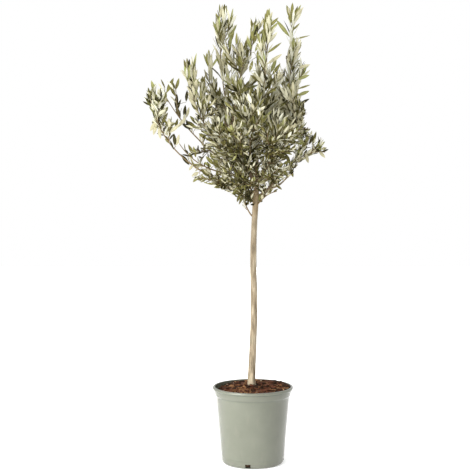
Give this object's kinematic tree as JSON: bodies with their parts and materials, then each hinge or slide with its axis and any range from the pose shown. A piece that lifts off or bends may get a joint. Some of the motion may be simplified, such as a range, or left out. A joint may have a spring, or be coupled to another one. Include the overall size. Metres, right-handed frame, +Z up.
{
  "type": "potted olive tree",
  "caption": "Young olive tree with a slim bare trunk and an upright, open crown of narrow grey-green leaves, in a plain round plastic pot topped with bark mulch.",
  "frame": {"origin": "centre of the pot's flat underside, on the surface that it stands on", "axes": "+Z up along the trunk, -Y the side that the picture shows, +X to the right in the picture"},
  "size_m": [0.5818, 0.4893, 1.4433],
  "materials": {
    "pot": "satin grey-green moulded plastic",
    "mulch": "rough dark bark chips",
    "bark": "dull pale bark with fine cracks",
    "leaves": "soft satin, olive green above and silvery below"
  },
  "bodies": {
    "root": {"pot": "pot", "mulch": "mulch", "trunk": "bark", "bough_left_low": "bark", "bough_left_high": "bark", "bough_left_inner": "bark", "bough_top_left": "bark", "bough_left_upper": "bark", "bough_top_centre": "bark", "bough_top_front": "bark", "bough_top_right": "bark", "bough_right_upper": "bark", "bough_right_middle": "bark", "bough_right_low": "bark", "bough_right_bottom": "bark", "bough_left_bottom": "bark", "bough_hang_left": "bark", "bough_hang_back": "bark", "bough_front_low": "bark", "bough_front_left": "bark", "bough_front_centre": "bark", "bough_front_right": "bark", "bough_front_bottom": "bark", "bough_back_left": "bark", "bough_back_centre": "bark", "bough_back_right": "bark", "bough_back_bottom_left": "bark", "bough_back_bottom_right": "bark", "leaves_left_low": "leaves", "leaves_left_high": "leaves", "leaves_left_inner": "leaves", "leaves_top_left": "leaves", "leaves_left_upper": "leaves", "leaves_top_centre": "leaves", "leaves_top_front": "leaves", "leaves_top_right": "leaves", "leaves_right_upper": "leaves", "leaves_right_middle": "leaves", "leaves_right_low": "leaves", "leaves_right_bottom": "leaves", "leaves_left_bottom": "leaves", "leaves_hang_left": "leaves", "leaves_hang_back": "leaves", "leaves_twig_left": "leaves", "leaves_twig_right": "leaves", "leaves_front_low": "leaves", "leaves_front_left": "leaves", "leaves_front_centre": "leaves", "leaves_front_right": "leaves", "leaves_front_bottom": "leaves", "leaves_back_left": "leaves", "leaves_back_centre": "leaves", "leaves_back_right": "leaves", "leaves_back_bottom_left": "leaves", "leaves_back_bottom_right": "leaves", "leaves_skirt_front": "leaves", "leaves_skirt_left": "leaves", "leaves_skirt_right": "leaves", "leaves_core_front": "leaves", "leaves_core_back": "leaves"}
  },
  "joints": []
}
